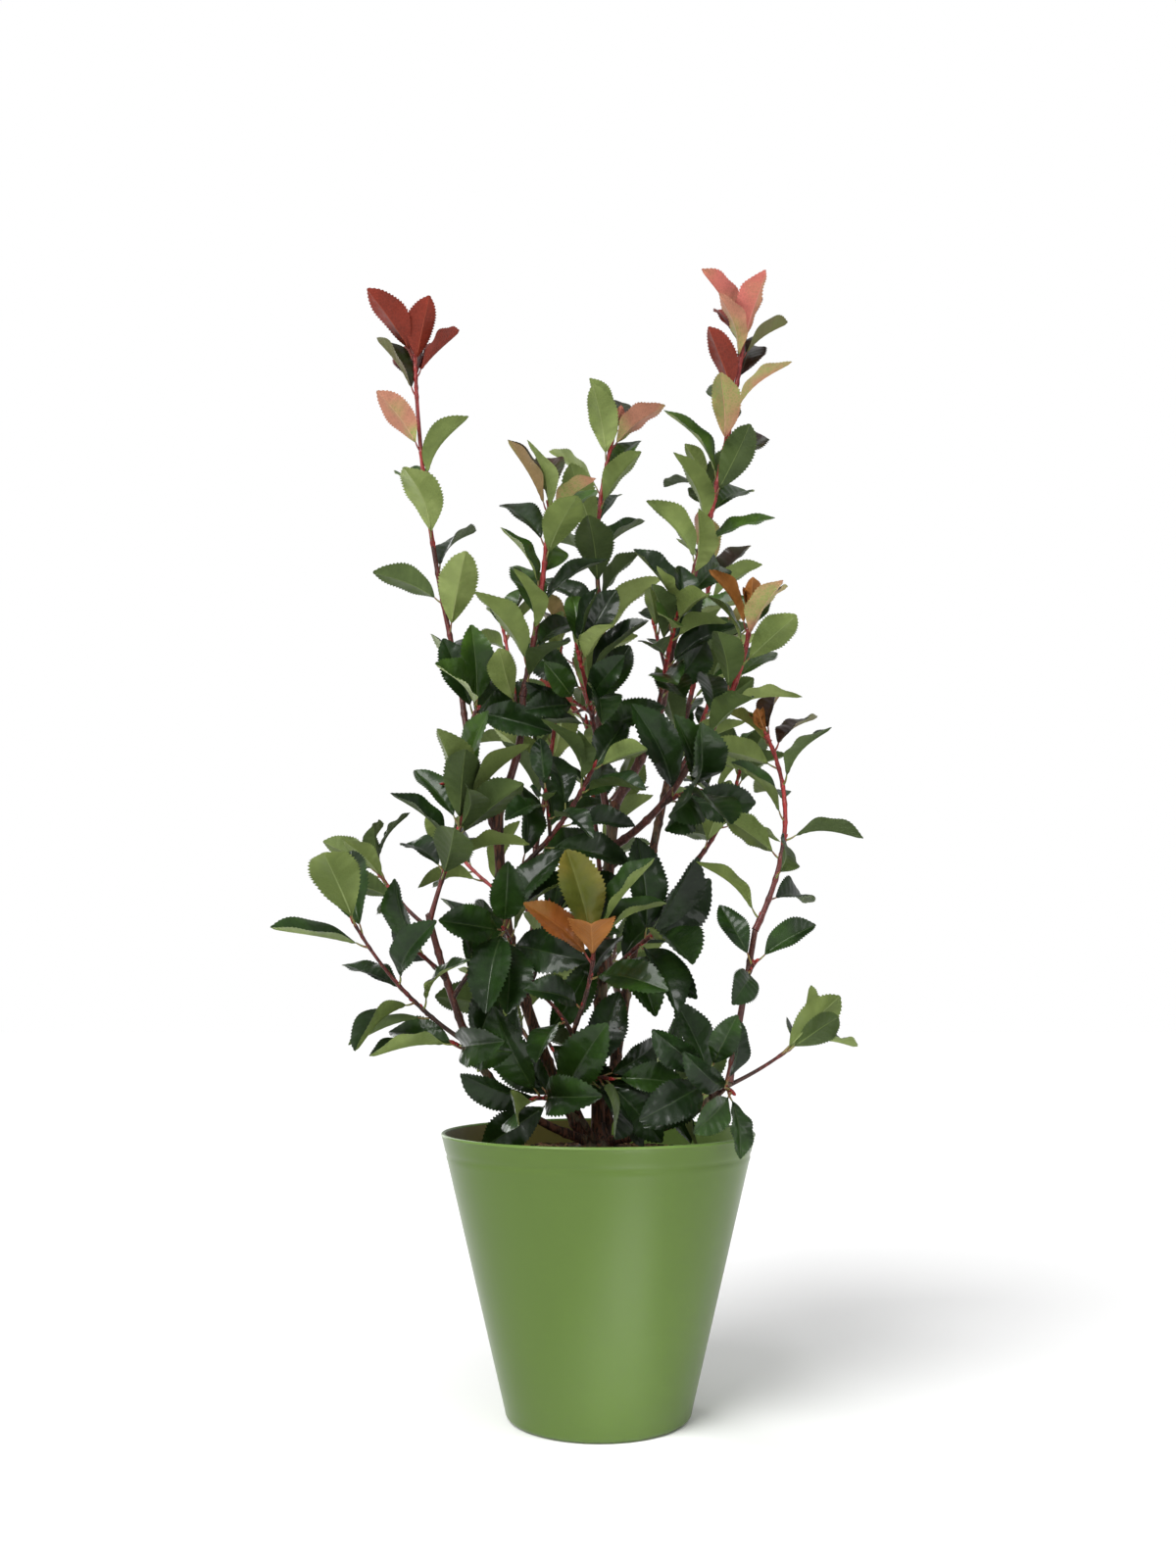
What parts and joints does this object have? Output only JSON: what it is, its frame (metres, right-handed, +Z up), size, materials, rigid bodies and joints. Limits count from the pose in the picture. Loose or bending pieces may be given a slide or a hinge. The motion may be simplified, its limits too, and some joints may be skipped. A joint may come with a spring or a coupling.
{
  "type": "potted evergreen shrub",
  "caption": "Young red-tipped broadleaf evergreen shrub with upright leafy stems rising from a low flare in compost, in a tapered round plastic planter with a thin rounded rim",
  "frame": {"origin": "centre of the planter's flat underside", "axes": "+Z up along the planter's axis; the plant's fullest face looks along -Y"},
  "size_m": [0.5403, 0.436, 1.1425],
  "materials": {
    "pot": "light green satin plastic",
    "soil": "dark brown bark and peat compost",
    "bark": "brown bark, redder on the young wood",
    "foliage": "glossy dark green leaves, pale beneath, copper red at the tips"
  },
  "bodies": {
    "root": {"pot": "pot", "soil": "soil", "trunk_centre": "bark", "trunk_left": "bark", "stem_back": "bark", "stem_low_right": "bark", "stem_low_left": "bark", "stem_front": "bark", "bough_left": "bark", "bough_centre_left": "bark", "bough_centre": "bark", "bough_right": "bark", "bough_right_low": "bark", "bough_far_right": "bark", "bough_far_left": "bark", "bough_back_left": "bark", "bough_back": "bark", "bough_back_right": "bark", "spire_left": "foliage", "spire_right": "foliage", "spire_centre": "foliage", "spire_centre_left": "foliage", "shoot_right": "foliage", "shoot_far_right": "foliage", "shoot_left": "foliage", "shoot_far_left_low": "foliage", "shoot_far_left": "foliage", "shoot_right_tip": "foliage", "shoot_bronze": "foliage", "shoot_rim_left": "foliage", "shoot_rim_right": "foliage", "shoot_front_right": "foliage", "shoot_front_left": "foliage", "shoot_mid_right": "foliage", "shoot_low_right": "foliage", "shoot_low_front": "foliage", "shoot_low_left": "foliage", "shoot_mid_left": "foliage", "shoot_outer_left": "foliage", "shoot_low_centre": "foliage", "shoot_front_centre": "foliage", "shoot_inner_spire": "foliage", "shoot_diagonal": "foliage", "shoot_inner_left": "foliage", "shoot_inner_far_left": "foliage", "shoot_mid_far_right": "foliage", "shoot_small_left": "foliage", "shoot_centre_front": "foliage", "shoot_right_front": "foliage", "spire_back": "foliage", "shoot_back_right": "foliage", "shoot_low_middle": "foliage", "shoot_centre_back": "foliage", "spire_back_left": "foliage", "spire_back_centre": "foliage", "shoot_back_far_left": "foliage", "shoot_back_far_right": "foliage", "shoot_back_low": "foliage", "shoot_back_low_right": "foliage", "shoot_back_low_left": "foliage"}
  },
  "joints": []
}
